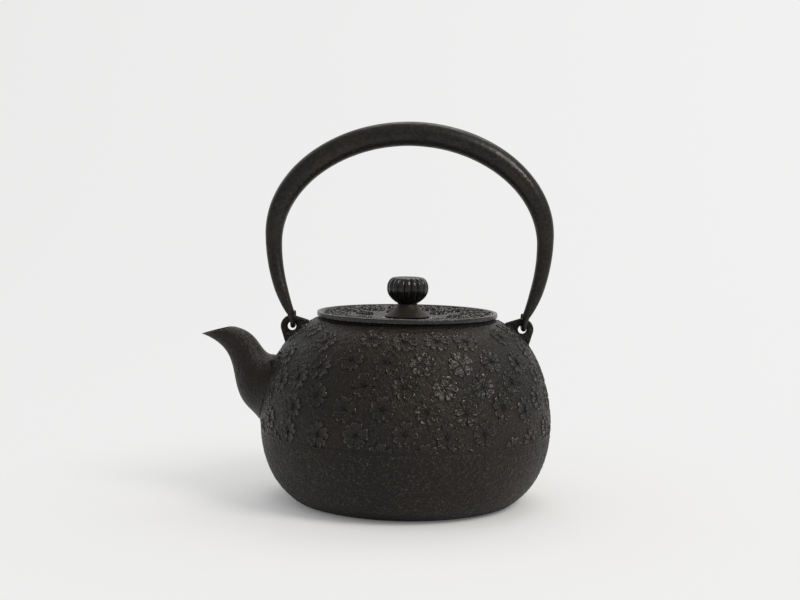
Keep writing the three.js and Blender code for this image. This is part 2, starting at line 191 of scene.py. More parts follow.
# Bearing in degrees and height of the blossoms on the side that faces the camera
FACING_BLOSSOMS = [
    (-83.5, 81.5), (-66.7, 81.2), (-74.9, 70.2), (-58.4, 70.3), (-67.1, 58.1), (-82.4, 59.3),
    (-90.9, 70.7), (-98.6, 82.3), (-51.0, 82.0), (-74.9, 46.9), (-90.4, 48.2), (-59.8, 47.2),
    (-50.2, 59.7), (-42.6, 71.3), (-75.3, 92.3), (-60.0, 91.8), (-91.5, 91.8), (-69.0, 36.6),
    (-99.0, 60.0), (-124.7, 45.4), (-108.7, 46.7), (-114.0, 59.0), (-127.4, 64.6), (-139.0, 57.0),
    (-107.0, 71.2), (-114.9, 82.8), (-129.4, 78.2), (-107.7, 93.0), (-155.9, 47.7), (-140.6, 44.6),
]


# Curves and meshes from points


def cubic_at(points, share):
    """The place on a cubic curve at a share of its parameter, or a place for each of a column."""
    start, pull_a, pull_b, end = (np.array(point, float) for point in points)
    rest = 1 - share
    first, last = rest**3 * start, share**3 * end
    return first + 3 * rest**2 * share * pull_a + 3 * rest * share**2 * pull_b + last


def cubic(points, count):
    return cubic_at(points, np.linspace(0, 1, count)[:, None])


def directions(path):
    along = np.gradient(path, axis=0)
    return along / np.linalg.norm(along, axis=1)[:, None]


def lengths_along(path):
    return np.concatenate([[0], np.cumsum(np.linalg.norm(np.diff(path, axis=0), axis=1))])


def shifted(path, distance):
    """A plane outline moved to its left by a distance, or by one for each point."""
    along = directions(path)
    return path + np.column_stack([-along[:, 1], along[:, 0]]) * np.reshape(distance, (-1, 1))


def ease(low, high, value):
    share = np.clip((np.asarray(value, float) - low) / (high - low), 0, 1)
    return share * share * (3 - 2 * share)


def between(start, end, share):
    return start + (end - start) * share


def round_axis(reach, turn, height=0):
    return reach * cos(turn), reach * sin(turn), height


def level_ring(radius, height, sides):
    return [round_axis(radius, tau * j / sides, height) for j in range(sides)]


def grid_faces(rows, sides):
    """Faces between rows of points that each run once round the axis."""
    faces = []
    for i in range(rows - 1):
        for j in range(sides):
            k = (j + 1) % sides
            faces.append((i * sides + j, i * sides + k, (i + 1) * sides + k, (i + 1) * sides + j))
    return faces


def face_outwards(skin):
    bmesh.ops.recalc_face_normals(skin, faces=skin.faces)


def face_upwards(skin):
    for face in skin.faces:
        face.normal_update()
        if face.normal.z < 0:
            face.normal_flip()


def weld(skin):
    bmesh.ops.remove_doubles(skin, verts=skin.verts, dist=1e-6)


def rework(mesh, *changes):
    skin = bmesh.new()
    skin.from_mesh(mesh)
    for change in changes:
        change(skin)
    skin.to_mesh(mesh)
    skin.free()


def add_object(name, data):
    made = bpy.data.objects.new(name, data)
    bpy.context.scene.collection.objects.link(made)
    return made


def add_piece(name, points, faces):
    mesh = bpy.data.meshes.new(name)
    mesh.from_pydata([tuple(float(c) * MM for c in point) for point in points], [], faces)
    mesh.update()
    rework(mesh, face_outwards)
    return add_object(name, mesh)


def corner(radius, height, *steps):
    """Points of a profile, each a step away from one of its corners."""
    return [(radius + out, height + up) for out, up in steps]


def turned(name, profile, sides):
    """A body of revolution. The profile runs anticlockwise; ends on the axis become poles."""
    points, faces, rows = [], [], []
    for radius, height in profile:
        ring = [(0, 0, height)] if radius < 1e-6 else level_ring(radius, height, sides)
        rows.append(range(len(points), len(points) + len(ring)))
        points += ring
    pairs = list(zip(rows, rows[1:]))
    if len(rows[0]) > 1:
        pairs.append((rows[-1], rows[0]))
    for low, high in pairs:
        for j in range(sides):
            k = (j + 1) % sides
            if len(low) == 1:
                faces.append((low[0], high[k], high[j]))
            elif len(high) == 1:
                faces.append((low[j], low[k], high[0]))
            else:
                faces.append((low[j], low[k], high[k], high[j]))
    return add_piece(name, points, faces)


def turned_sheet(name, profile, sides):
    """An open sheet turned round the axis."""
    points = [point for radius, height in profile for point in level_ring(radius, height, sides)]
    return add_piece(name, points, grid_faces(len(profile), sides))


def skinned(name, rings):
    """A closed skin over rings of equal point counts."""
    count = len(rings[0])
    points = [point for ring in rings for point in ring]
    points += [np.mean(rings[0], axis=0), np.mean(rings[-1], axis=0)]
    first_hub, last_hub = len(points) - 2, len(points) - 1
    faces = [(a, d, c, b) for a, b, c, d in grid_faces(len(rings), count)]
    last = (len(rings) - 1) * count
    for j in range(count):
        k = (j + 1) % count
        faces.append((first_hub, j, k))
        faces.append((last_hub, last + k, last + j))
    return add_piece(name, points, faces)


def plain_mesh(piece):
    """The mesh of a piece or a curve as its modifiers leave it."""
    bpy.context.view_layer.update()
    evaluated = piece.evaluated_get(bpy.context.evaluated_depsgraph_get())
    return bpy.data.meshes.new_from_object(evaluated)


def bake(piece):
    mesh = plain_mesh(piece)
    piece.modifiers.clear()
    piece.data = mesh


def joined(piece, others, operation):
    """Cuts other solids from the piece, or unites them with it, and removes them."""
    for other in others:
        cut = piece.modifiers.new("joint", "BOOLEAN")
        cut.operation = operation
        cut.solver = "MANIFOLD"
        cut.object = other
    bake(piece)
    for other in others:
        bpy.data.objects.remove(other)


def mesh_points(piece):
    points = np.empty(len(piece.data.vertices) * 3)
    piece.data.vertices.foreach_get("co", points)
    return points.reshape(-1, 3) / MM


def store_masks(piece, **masks):
    """Keeps named values on the piece's points, one number for all or one for each."""
    for name, values in masks.items():
        each = np.broadcast_to(np.asarray(values, np.float32), len(piece.data.vertices))
        mask = piece.data.attributes.new(name, "FLOAT", "POINT")
        mask.data.foreach_set("value", np.ascontiguousarray(each))


def smooth_shading(piece, crease_degrees):
    piece.data.shade_smooth()
    piece.data.set_sharp_from_angle(angle=radians(crease_degrees))
    return piece


# Body casting


def band_depth(height):
    """How far the casting's ground lies inside the outline at this height."""
    over_seam = ease(SEAM_HEIGHT - 0.05, SEAM_HEIGHT + 0.25, height)
    in_band = over_seam * (1 - ease(*BAND_TOP_FADE, height))
    on_grain = ease(*GRAIN_FOOT_FADE, height) * (1 - over_seam)
    lip = ease(SEAM_HEIGHT - 0.7, SEAM_HEIGHT - 0.1, height) * on_grain
    return BAND_GROUND * in_band + GRAIN_GROUND * on_grain - SEAM_LIP * lip


def body_outline():
    """The outline as points, with more of them close to the seam."""
    whole = np.vstack([cubic(LOWER_OUTLINE, 60), cubic(UPPER_OUTLINE, 90)[1:]])
    near_seam = np.linspace(SEAM_HEIGHT - 1.2, SEAM_HEIGHT + 1.2, 17)
    radius_there = np.interp(near_seam, whole[:, 1], whole[:, 0])
    whole = np.vstack([whole, np.column_stack([radius_there, near_seam])])
    return whole[np.argsort(whole[:, 1], kind="stable")]


OUTLINE = body_outline()
OUTLINE_HEIGHTS = OUTLINE[:, 1]
GROUND = shifted(OUTLINE, band_depth(OUTLINE_HEIGHTS))


def outline_radius(height):
    return np.interp(height, OUTLINE_HEIGHTS, OUTLINE[:, 0])


def body_shell():
    profile = [
        (0, 0),
        *corner(GATE_SCAR_RADIUS, 0, (-0.5, 0), (0, 0.1), (HOLLOW_BEVEL, BASE_HOLLOW)),
        (28, BASE_HOLLOW),
        *corner(FOOT_RING_INNER, 0, (-HOLLOW_BEVEL, BASE_HOLLOW), (0, 0.1), (0.5, 0)),
        OUTLINE[0],
        *GROUND[1:],
        *corner(NECK_RADIUS, NECK_FOOT, (0.15, -0.3), (0, 0)),
        *corner(NECK_RADIUS, RIM_TOP, (0, -EDGE_BREAK), (-0.12, -0.12), (-EDGE_BREAK, 0)),
        (0, RIM_TOP),
    ]
    return turned("body_casting", profile, BODY_SIDES)


def body_hollow():
    outline = np.vstack([cubic(LOWER_OUTLINE, 24), cubic(UPPER_OUTLINE, 30)[1:]])
    wall = shifted(outline, WALL)
    wall = wall[(wall[:, 1] > FLOOR_TOP + 1) & (wall[:, 0] > MOUTH_RADIUS + 1)]
    profile = [
        (0, FLOOR_TOP),
        (BASE_RADIUS + FLOOR_CORNER, FLOOR_TOP),
        *wall,
        (MOUTH_RADIUS, wall[-1][1]),
        *corner(MOUTH_RADIUS, RIM_TOP, (0, -EDGE_BREAK), (EDGE_BREAK, 0), (EDGE_BREAK, 1)),
        (0, RIM_TOP + 1),
    ]
    return turned("hollow", profile, 120)


def spout_ring(share, inset, sides):
    upper = cubic_at(SPOUT_TOP, share)
    middle = (upper + cubic_at(SPOUT_BOTTOM, share)) / 2
    reach = upper - middle
    shrink = 1 - inset / np.linalg.norm(reach)
    half_width = cubic_at(SPOUT_HALF_WIDTHS, share)[1] - inset
    ring = []
    for j in range(sides):
        turn = tau * j / sides
        rise = cos(turn) * shrink
        across = sin(turn) * half_width * (1 + SPOUT_POINTING * share * cos(turn))
        ring.append((middle[0] + reach[0] * rise, across, middle[1] + reach[1] * rise))
    return np.array(ring)


def mouth_direction():
    """The way out of the spout's mouth."""
    (back_x, back_z), (tip_x, tip_z) = SPOUT_TOP[3], SPOUT_BOTTOM[3]
    slope = atan2(back_z - tip_z, back_x - tip_x)
    return np.array([-sin(slope), 0, cos(slope)])


def spout_outer():
    rings = [spout_ring(share, 0, 56) for share in np.linspace(0, 0.985, 56)]
    rings += [spout_ring(1, 0, 56) - mouth_direction() * 0.25, spout_ring(1, 0.3, 56)]
    return skinned("spout_outer", rings)


def spout_bore():
    rings = []
    for share in np.linspace(0, 1, 30):
        rings.append(spout_ring(share, between(SPOUT_WALL, LIP_WALL, share), 40))
    inside = rings[0] + np.array([BORE_REACH, 0, 0])
    return skinned("spout_bore", [inside, *rings, rings[-1] + mouth_direction()])


def ear(side):
    """A flat eye with rounded edges on a foot that spreads into the shoulder."""
    curve = bpy.data.curves.new("ear", "CURVE")
    curve.dimensions = "2D"
    curve.fill_mode = "BOTH"
    back, foot = EAR_X - EAR_INSET, EAR_Z - EAR_FOOT_DROP
    outline = [(back, foot), (EAR_X + EAR_EDGE - EAR_FOOT_SPREAD, foot)]
    for degrees in range(-12, 105, 6):
        turn = radians(degrees)
        outline.append((EAR_X + EAR_EDGE * cos(turn), EAR_Z + EAR_EDGE * sin(turn)))
    outline.append((back, EAR_Z + EAR_EDGE - EAR_BACK_FALL))
    eye = [(EAR_X + x, EAR_Z - z) for x, z, _ in level_ring(EAR_HOLE, 0, 36)]
    for loop in (outline, eye):
        spline = curve.splines.new("POLY")
        spline.points.add(len(loop) - 1)
        spline.use_cyclic_u = True
        for point, (x, z) in zip(spline.points, loop):
            point.co = (x * MM, z * MM, 0, 1)
    curve.extrude = (EAR_THICKNESS / 2 - EAR_BEVEL) * MM
    curve.bevel_depth = EAR_BEVEL * MM
    curve.bevel_resolution = 3
    curve.offset = -EAR_BEVEL * MM
    holder = add_object("ear", curve)
    mesh = plain_mesh(holder)
    bpy.data.objects.remove(holder)
    mesh.transform(Matrix.Rotation(pi / 2, 4, "X"))
    if side < 0:
        mesh.transform(Matrix.Rotation(pi, 4, "Z"))
    rework(mesh, weld, face_outwards)
    return add_object("ear", mesh)


def tree_of(piece):
    points = [vertex.co for vertex in piece.data.vertices]
    return BVHTree.FromPolygons(points, [tuple(face.vertices) for face in piece.data.polygons])


def swell_towards(piece, neighbour_tree, reach):
    """Raises a casting's surface near a neighbour, as the mould's rounded corner does."""
    for vertex in piece.data.vertices:
        found = neighbour_tree.find_nearest(vertex.co, reach * MM)
        if found[0] is None:
            continue
        near = 1 - found[3] / (reach * MM)
        vertex.co += vertex.normal * (near * near * reach * MM / 4)
    piece.data.update()


def foot_soot(heights):
    """Painted shade: the kettle is darkened towards its foot, where it meets the floor."""
    return FOOT_SHADE * (1 - ease(0.5, 9.0, heights))


def body_casting():
    shell = body_shell()
    spout = spout_outer()
    shell_tree, spout_tree = tree_of(shell), tree_of(spout)
    swell_towards(shell, spout_tree, ROOT_FILLET)
    swell_towards(spout, shell_tree, ROOT_FILLET)
    joined(shell, [spout, ear(1), ear(-1)], "UNION")
    joined(shell, [body_hollow(), spout_bore()], "DIFFERENCE")
    x, y, z = mesh_points(shell).T
    radius = np.hypot(x, y)
    outer = outline_radius(z)
    on_spout = (radius > outer + 1.2) & (x < -60) & (z < 96) & (z > 30)
    on_ear = (np.abs(y) < 2.6) & (np.abs(x) > 50) & (z > 84) & (radius > outer + 0.6)
    inside = radius < outer - 2.2
    # Painted shade: the rim's wall under the lid's overhang gets the full dark tone.
    shaded_recess = (z > BAND_TOP_FADE[1]) & (radius < NECK_RADIUS + 0.9)
    below_seam = (z < SEAM_HEIGHT + 0.1) & ~on_spout
    store_masks(
        shell,
        grain=np.select([inside | on_ear, on_spout, below_seam], [0.6, 0.55, 1.0], 0.8),
        # Darker oxide inside; painted shade on the rim's wall and towards the foot.
        soot=np.maximum(np.where(shaded_recess, 1.0, inside * 0.8), foot_soot(z)),
        lumps=np.select([inside | below_seam, on_ear | on_spout], [0.6, 2.2], 2.8),
        wear=0,
    )
    return smooth_shading(shell, 50)


def grain_sheet():
    """The sandy skin under the seam: a fine sheet over the casting's ground, its grains raised."""
    ground = GROUND[(OUTLINE_HEIGHTS > 1.0) & (OUTLINE_HEIGHTS < SEAM_HEIGHT - 0.5)]
    lengths = lengths_along(ground)
    rows = int(lengths[-1] / GRAIN_STEP)
    even = np.linspace(0, lengths[-1], rows)
    profile = np.column_stack([np.interp(even, lengths, ground[:, side]) for side in (0, 1)])
    sides = int(tau * profile[:, 0].max() / GRAIN_STEP)
    highest = GRAIN_GROUND - 0.04
    points, tops = [], []
    for i, ((radius, height), (out, up)) in enumerate(zip(profile, directions(profile))):
        at_edge = i in (0, rows - 1)
        for j in range(sides):
            turn = tau * (j + 0.5 * (i % 2)) / sides
            spot = Vector(round_axis(radius, turn, height))
            nearest = noise.voronoi(spot / GRAIN_PITCH)[0][0]
            grain = 0.54 * (0.7 - nearest) + 0.12 * noise.noise(spot / 0.7)
            lift = SHEET_HEM if at_edge else min(max(grain + 0.02, 0.01), highest)
            tops.append(lift / highest)
            points.append(round_axis(radius + lift * up, turn, height - lift * out))
    piece = add_piece("sandy_skin", points, grid_faces(rows, sides))
    tops = np.clip(tops, 0, 1)
    # Painted shade in the pits between the grains and towards the foot; the grains' tops are worn
    # paler.
    soot = np.maximum(PIT_SHADE * (1 - tops) ** 2, foot_soot(mesh_points(piece)[:, 2]))
    store_masks(piece, grain=1, soot=soot, lumps=0.5, wear=tops**0.8)
    return smooth_shading(piece, 70)


# Blossom relief


def ornament(name, points, lifts, faces):
    """A flat sheet. Lift is 1 at its crest and below 0 where it sinks into the ground."""
    piece = add_piece(name, points, faces)
    rework(piece.data, face_upwards)
    store_masks(piece, lift=lifts)
    return piece


def petal_edge(degrees):
    """How far out the petal's edge lies in this direction from the blossom's centre."""
    turn = radians(abs(degrees) - LOBE_TURN)
    across = LOBE_REACH * sin(turn)
    return LOBE_REACH * cos(turn) + sqrt(max(LOBE_RADIUS**2 - across**2, 0))


def petal():
    half = [0, 5, 11, 18, 26, 33, PETAL_HALF_TURN]
    columns = [-degrees for degrees in half[:0:-1]] + half
    points, lifts, faces = [], [], []
    for degrees in columns:
        edge = petal_edge(degrees)
        turn = radians(degrees)
        crease = exp(-((degrees / 5) ** 2))
        side = abs(degrees) / PETAL_HALF_TURN
        rows = [
            (PETAL_ROOT, 0.1),
            (0.5 * edge, 0.06 + 0.3 * side**6),
            (edge - 2.2 * RIM_INSET, 0.2 - 0.2 * crease + 0.35 * side**6),
            (edge - RIM_INSET, 1 - 0.1 * crease),
            (edge - 0.35 * RIM_INSET, 0.7 - 0.3 * crease),
            (edge, SUNK),
        ]
        for reach, lift in rows:
            points.append(round_axis(reach, turn))
            lifts.append(SUNK if side == 1 and reach > PETAL_ROOT else lift)
    count = len(rows)
    for i in range(len(columns) - 1):
        for j in range(count - 1):
            corner = i * count + j
            faces.append((corner, corner + count, corner + count + 1, corner + 1))
    return ornament("petal", points, lifts, faces)


def bead(points, lifts, faces, reach, radius, top):
    """Adds a small round bead to a flat ornament."""
    hub = len(points)
    points.append((reach, 0, 0))
    lifts.append(top)
    for j, (x, y, _) in enumerate(level_ring(radius, 0, 6)):
        points.append((reach + x, y, 0))
        lifts.append(-0.1)
        faces.append((hub, hub + 1 + j, hub + 1 + (j + 1) % 6))


def stamen():
    """A thin thread that ends in a round anther."""
    points = [(0.4, side, 0) for side in (-0.2, 0, 0.2)]
    points += [(2.9, side, 0) for side in (-0.17, 0, 0.17)]
    lifts = [0.05, 0.6, 0.05, -0.1, 0.5, -0.1]
    faces = [(0, 3, 4, 1), (1, 4, 5, 2)]
    bead(points, lifts, faces, 3.2, 0.7, 1.0)
    return ornament("stamen", points, lifts, faces)


def pistil():
    """The bead in the blossom's centre."""
    points, lifts, faces = [], [], []
    bead(points, lifts, faces, 0, 0.8, 0.9)
    return ornament("pistil", points, lifts, faces)


def node(tree, kind, inputs=None, **settings):
    """Adds a node with its settings and inputs, and gives its outputs."""
    made = tree.nodes.new(kind)
    for name, value in settings.items():
        setattr(made, name, value)
    for key, value in (inputs or {}).items():
        if isinstance(value, bpy.types.NodeSocket):
            tree.links.new(value, made.inputs[key])
        else:
            made.inputs[key].default_value = value
    return made.outputs


def reckon(tree, operation, *values, **settings):
    """The result of a maths node."""
    numbered = dict(enumerate(values))
    return node(tree, "ShaderNodeMath", numbered, operation=operation, **settings)[0]


def reckon_vector(tree, operation, inputs):
    return node(tree, "ShaderNodeVectorMath", inputs, operation=operation)


def ranged(tree, value, *ends):
    """A value mapped from a range to 0 and 1, or to the third and fourth end."""
    inputs = {"Value": value, **{i + 1: end for i, end in enumerate(ends)}}
    return node(tree, "ShaderNodeMapRange", inputs)[0]


SOCKET_KINDS = {int: "NodeSocketInt", float: "NodeSocketFloat", tuple: "NodeSocketColor"}


def node_tree(kind, name, inputs, outputs):
    """A tree with named sockets, each given as its value or as its kind."""
    tree = bpy.data.node_groups.new(name, kind)
    for way, sockets in (("INPUT", inputs), ("OUTPUT", outputs)):
        for title, value in sockets.items():
            socket_kind = SOCKET_KINDS.get(type(value), value)
            socket = tree.interface.new_socket(title, in_out=way, socket_type=socket_kind)
            if socket_kind != value:
                socket.default_value = value
    return tree, tree.nodes.new("NodeGroupInput").outputs, tree.nodes.new("NodeGroupOutput").inputs


def blossom_tree(petal_piece, stamen_piece, pistil_piece):
    """Geometry nodes: a blossom on every point, laid onto the ground and cut at the edges."""
    sizes = {
        "Points": "NodeSocketGeometry",
        "Ground": "NodeSocketObject",
        "Petals": 5,
        "Stamens": 11,
        "Relief Height": 0.0006,
        "Cut By Radius": 0.0,
        "Inner Edge": 0.0,
        "Outer Edge": 1.0,
        "Edge Slope": 0.0005,
        "Finish": "NodeSocketMaterial",
    }
    outputs = {"Relief": "NodeSocketGeometry"}
    tree, given, results = node_tree("GeometryNodeTree", "blossom_relief", sizes, outputs)

    def shape_of(piece):
        return node(tree, "GeometryNodeObjectInfo", {"Object": piece})["Geometry"]

    def stored(name, kind):
        named = node(tree, "GeometryNodeInputNamedAttribute", {"Name": name}, data_type=kind)
        return named["Attribute"]

    def copies(spots, shape, angles, scale):
        rotation = node(tree, "FunctionNodeEulerToRotation", {0: angles})[0]
        inputs = {"Points": spots, "Instance": shape, "Rotation": rotation, "Scale": scale}
        return node(tree, "GeometryNodeInstanceOnPoints", inputs)[0]

    def ring_of(piece, count, short_every_second):
        spots = node(tree, "GeometryNodePoints", {"Count": count})[0]
        index = node(tree, "GeometryNodeInputIndex")[0]
        turn = reckon(tree, "MULTIPLY", index, reckon(tree, "DIVIDE", tau, count))
        angles = node(tree, "ShaderNodeCombineXYZ", {"Z": turn})[0]
        odd = reckon(tree, "MODULO", index, 2.0)
        scale = reckon(tree, "MULTIPLY_ADD", odd, -short_every_second, 1.0)
        return copies(spots, shape_of(piece), angles, scale)

    blossom = tree.nodes.new("GeometryNodeJoinGeometry")
    tree.links.new(ring_of(petal_piece, given["Petals"], 0.0), blossom.inputs[0])
    tree.links.new(ring_of(stamen_piece, given["Stamens"], 0.34), blossom.inputs[0])
    tree.links.new(ring_of(pistil_piece, 1, 0.0), blossom.inputs[0])
    facing, grow = stored("facing", "FLOAT_VECTOR"), stored("grow", "FLOAT")
    placed = copies(given["Points"], blossom.outputs[0], facing, grow)
    solid = node(tree, "GeometryNodeRealizeInstances", {0: placed})[0]

    ground = shape_of(given["Ground"])
    position = node(tree, "GeometryNodeInputPosition")[0]

    def on_ground(value):
        inputs = {"Mesh": ground, "Value": value, "Sample Position": position}
        kind = "GeometryNodeSampleNearestSurface"
        return node(tree, kind, inputs, data_type="FLOAT_VECTOR")[0]

    foot = on_ground(position)
    outward = on_ground(node(tree, "GeometryNodeInputNormal")[0])
    parts = node(tree, "ShaderNodeSeparateXYZ", {0: foot})
    flat = node(tree, "ShaderNodeCombineXYZ", {"X": parts["X"], "Y": parts["Y"]})[0]
    radius = reckon_vector(tree, "LENGTH", {0: flat})["Value"]
    by_radius = given["Cut By Radius"]
    height_part = reckon(tree, "MULTIPLY", parts["Z"], reckon(tree, "SUBTRACT", 1.0, by_radius))
    measure = reckon(tree, "MULTIPLY_ADD", radius, by_radius, height_part)
    inner, outer, slope = given["Inner Edge"], given["Outer Edge"], given["Edge Slope"]
    rises = ranged(tree, measure, inner, reckon(tree, "ADD", inner, slope))
    falls = ranged(tree, measure, outer, reckon(tree, "SUBTRACT", outer, slope))
    shown = reckon(tree, "MULTIPLY", rises, falls)
    above = reckon(tree, "ADD", stored("lift", "FLOAT"), 1.0)
    kept = reckon(tree, "MULTIPLY_ADD", above, shown, -1.0)
    raised = reckon(tree, "MULTIPLY", kept, given["Relief Height"])
    offset = reckon_vector(tree, "SCALE", {0: outward, "Scale": raised})[0]
    place = reckon_vector(tree, "ADD", {0: foot, 1: offset})[0]
    laid = node(tree, "GeometryNodeSetPosition", {"Geometry": solid, "Position": place})[0]
    finish = {"Geometry": laid, "Material": given["Finish"]}
    tree.links.new(node(tree, "GeometryNodeSetMaterial", finish)[0], results["Relief"])
    return tree


def facing_angles(normal, turn):
    """Euler angles that lay a flat ornament on a surface, turned about the surface's normal."""
    normal = Vector(normal).normalized()
    level = Vector((0, 0, 1)).cross(normal)
    level = Vector((1, 0, 0)) if level.length < 1e-3 else level.normalized()
    surface = Matrix((level, normal.cross(level), normal)).transposed()
    return (surface @ Matrix.Rotation(turn, 3, "Z")).to_euler()


def relief(name, ground, spots, finish, sizes):
    """Runs the blossom tree on spots of (position, normal, turn, size) and leaves a plain mesh."""
    piece = add_piece(name, [spot[0] for spot in spots], [])
    facing = piece.data.attributes.new("facing", "FLOAT_VECTOR", "POINT")
    angles = [tuple(facing_angles(spot[1], spot[2])) for spot in spots]
    facing.data.foreach_set("vector", np.array(angles, np.float32).ravel())
    store_masks(piece, grow=[spot[3] for spot in spots])
    grower = piece.modifiers.new("blossoms", "NODES")
    grower.node_group = FLOWER_TREE
    chosen = {"Ground": ground, "Finish": finish, **sizes}
    for item in FLOWER_TREE.interface.items_tree:
        if item.in_out == "INPUT" and item.name in chosen:
            grower[item.identifier] = chosen[item.name]
    bake(piece)
    return smooth_shading(piece, 65)


def band_point(bearing, height):
    return np.array(round_axis(float(outline_radius(height)), radians(bearing), height))


def band_normal(spot):
    """The way out of the body at a spot on its outline."""
    slope = float(outline_radius(spot[2] + 0.5) - outline_radius(spot[2] - 0.5))
    return np.array([*(spot[:2] / np.linalg.norm(spot[:2])), -slope])


def band_spots():
    """Blossoms round the body: first those that face the camera, then the rest close together."""
    chance = np.random.default_rng(11)
    kept = [band_point(bearing, height) for bearing, height in FACING_BLOSSOMS]
    lengths = lengths_along(OUTLINE)
    low, high = np.interp([SEAM_HEIGHT - 3, 95.0], OUTLINE_HEIGHTS, lengths)
    for _ in range(BLOSSOM_TRIES):
        height = float(np.interp(chance.uniform(low, high), lengths, OUTLINE_HEIGHTS))
        candidate = band_point(chance.uniform(-180, 180), height)
        if all(np.linalg.norm(candidate - spot) >= BLOSSOM_SPACING for spot in kept):
            kept.append(candidate)
    found = []
    for spot in kept:
        turn = pi / 2 + chance.uniform(-0.22, 0.22)
        found.append((spot, band_normal(spot), turn, chance.uniform(0.95, 1.03)))
    return found


def speck_spots(blossoms):
    """Places of the small raised specks that sand leaves on the ground between the blossoms."""
    chance = np.random.default_rng(23)
    centres = np.array([blossom[0] for blossom in blossoms])
    found = []
    for _ in range(SPECKS):
        spot = band_point(chance.uniform(-180, 180), chance.uniform(SEAM_HEIGHT + 1, 96))
        if np.linalg.norm(centres - spot, axis=1).min() >= BLOSSOM_REACH:
            found.append((spot, band_normal(spot), 0.0, chance.uniform(0.45, 1.0)))
    return found


def band_ground():
    """The casting's ground alone, for the blossoms to lie on."""
    profile = GROUND[(OUTLINE_HEIGHTS > 20) & (OUTLINE_HEIGHTS < BAND_TOP_FADE[1])]
    return turned_sheet("band_ground", profile, BODY_SIDES)


# Lid


def dish_height(radius):
    radius = np.asarray(radius, float)
    share = np.clip((radius - SEAT_RADIUS) / (DISH_RADIUS - SEAT_RADIUS), 0, 1)
    return LID_CENTRE_TOP + (LID_TOP - LID_CENTRE_TOP - DISH_EDGE_DROP) * share**DISH_POWER


def lid_ground(radius):
    """The dish's ground lies a little below its outline."""
    past_seat = ease(SEAT_RADIUS + 0.4, SEAT_RADIUS + 1.4, radius)
    before_band = 1 - ease(DISH_RADIUS - 0.8, DISH_RADIUS, radius)
    return dish_height(radius) - LID_GROUND * past_seat * before_band


def lid_plate():
    under = np.linspace(SEAT_RADIUS, FLANGE_INNER, 22)
    top = np.linspace(SEAT_RADIUS, DISH_RADIUS, 44)[::-1]
    profile = [
        (SHANK_BORE, LID_CENTRE_TOP - LID_THICKNESS),
        *zip(under, dish_height(under) - LID_THICKNESS),
        *corner(FLANGE_INNER, FLANGE_BOTTOM, (0, 0.25), (0.25, 0)),
        *corner(FLANGE_OUTER, FLANGE_BOTTOM, (-0.4, 0), (-0.1, 0.12), (0, 0.4)),
        *corner(FLANGE_OUTER, LID_BOTTOM, (0, -0.2), (0.2, 0)),
        *corner(LID_RADIUS, LID_BOTTOM, (-LID_EDGE, 0), (-0.13, 0.13), (0, LID_EDGE)),
        *corner(LID_RADIUS, LID_TOP, (0, -LID_EDGE), (-0.13, -0.13), (-LID_EDGE, 0)),
        *corner(DISH_RADIUS, LID_TOP, (0.5, 0), (0.15, -0.1)),
        *zip(top, lid_ground(top)),
        *corner(SHANK_BORE, LID_CENTRE_TOP, (0.2, 0), (0, -0.2)),
    ]
    piece = turned("lid_casting", profile, 180)
    x, y, z = mesh_points(piece).T
    radius = np.hypot(x, y)
    in_dish = (radius < DISH_RADIUS - 0.3) & (z > dish_height(radius) - 1)
    store_masks(piece, grain=np.where(in_dish, 0.6, 0.5))
    return smooth_shading(piece, 40)


def dish_spot(radius, turn):
    return round_axis(radius, turn, float(dish_height(radius)))


def lid_spots():
    """One ring of blossoms along the lid's rim and a looser one inside it."""
    chance = np.random.default_rng(5)
    found = []
    for count, radius, size in LID_RINGS:
        for j in range(count):
            turn = tau * (j + chance.uniform(-0.08, 0.08)) / count
            spot = dish_spot(radius + chance.uniform(-0.7, 0.7), turn)
            spin = chance.uniform(0, tau)
            found.append((spot, (0, 0, 1), spin, size * chance.uniform(0.96, 1.04)))
    return found


def stipple_spots(blossoms):
    """Fine raised points that cover the lid between its blossoms."""
    chance = np.random.default_rng(29)
    centres = np.array([blossom[0][:2] for blossom in blossoms])
    reach = np.array([blossom[3] for blossom in blossoms]) * BLOSSOM_REACH
    found = []
    radius = SEAT_RADIUS + 0.9
    while radius < DISH_RADIUS - 0.8:
        count = int(tau * radius / STIPPLE_PITCH)
        for j in range(count):
            turn = tau * (j + chance.uniform(-0.3, 0.3)) / count
            spot = dish_spot(radius + chance.uniform(-0.25, 0.25), turn)
            if (np.linalg.norm(centres - spot[:2], axis=1) >= reach).all():
                found.append((spot, (0, 0, 1), 0.0, chance.uniform(0.55, 0.85)))
        radius += STIPPLE_PITCH
    return found


def dish_ground():
    """The dish's ground alone, for the lid's blossoms to lie on."""
    radii = np.linspace(SEAT_RADIUS - 1, DISH_RADIUS + 0.5, 60)
    piece = turned_sheet("dish_ground", list(zip(radii, lid_ground(radii))), 160)
    rework(piece.data, face_upwards)
    return piece


# Knob, its seat and its washer


def knob_seat():
    foot = SEAT_BOTTOM + 0.75
    cone = []
    for share in np.linspace(0, 1, 26)[:-1]:
        radius = between(NECK_OF_KNOB, SEAT_CONE_RADIUS, (1 - share) ** SEAT_FLARE)
        cone.append((radius, between(foot, SEAT_TOP, share)))
    profile = [
        (SHANK_BORE, SEAT_BOTTOM),
        *corner(SEAT_RADIUS, SEAT_BOTTOM, (-0.15, 0), (0, 0.15), (0, 0.38), (-0.15, 0.5)),
        (SEAT_CONE_RADIUS + 0.35, SEAT_BOTTOM + 0.55),
        *cone,
        *corner(NECK_OF_KNOB, SEAT_TOP, (0, -0.15), (-0.2, 0)),
        (SHANK_BORE, SEAT_TOP),
    ]
    return smooth_shading(turned("knob_collar", profile, 120), 40)


def knob_washer():
    profile = [
        (SHANK_BORE, WASHER_BOTTOM),
        *corner(WASHER_RADIUS, WASHER_BOTTOM, (-0.4, 0), (-0.12, 0.12), (0, 0.4)),
        *corner(WASHER_RADIUS, WASHER_TOP, (0, -0.1), (-0.1, 0)),
        (SHANK_BORE, WASHER_TOP),
    ]
    return smooth_shading(turned("shank_washer", profile, 72), 40)


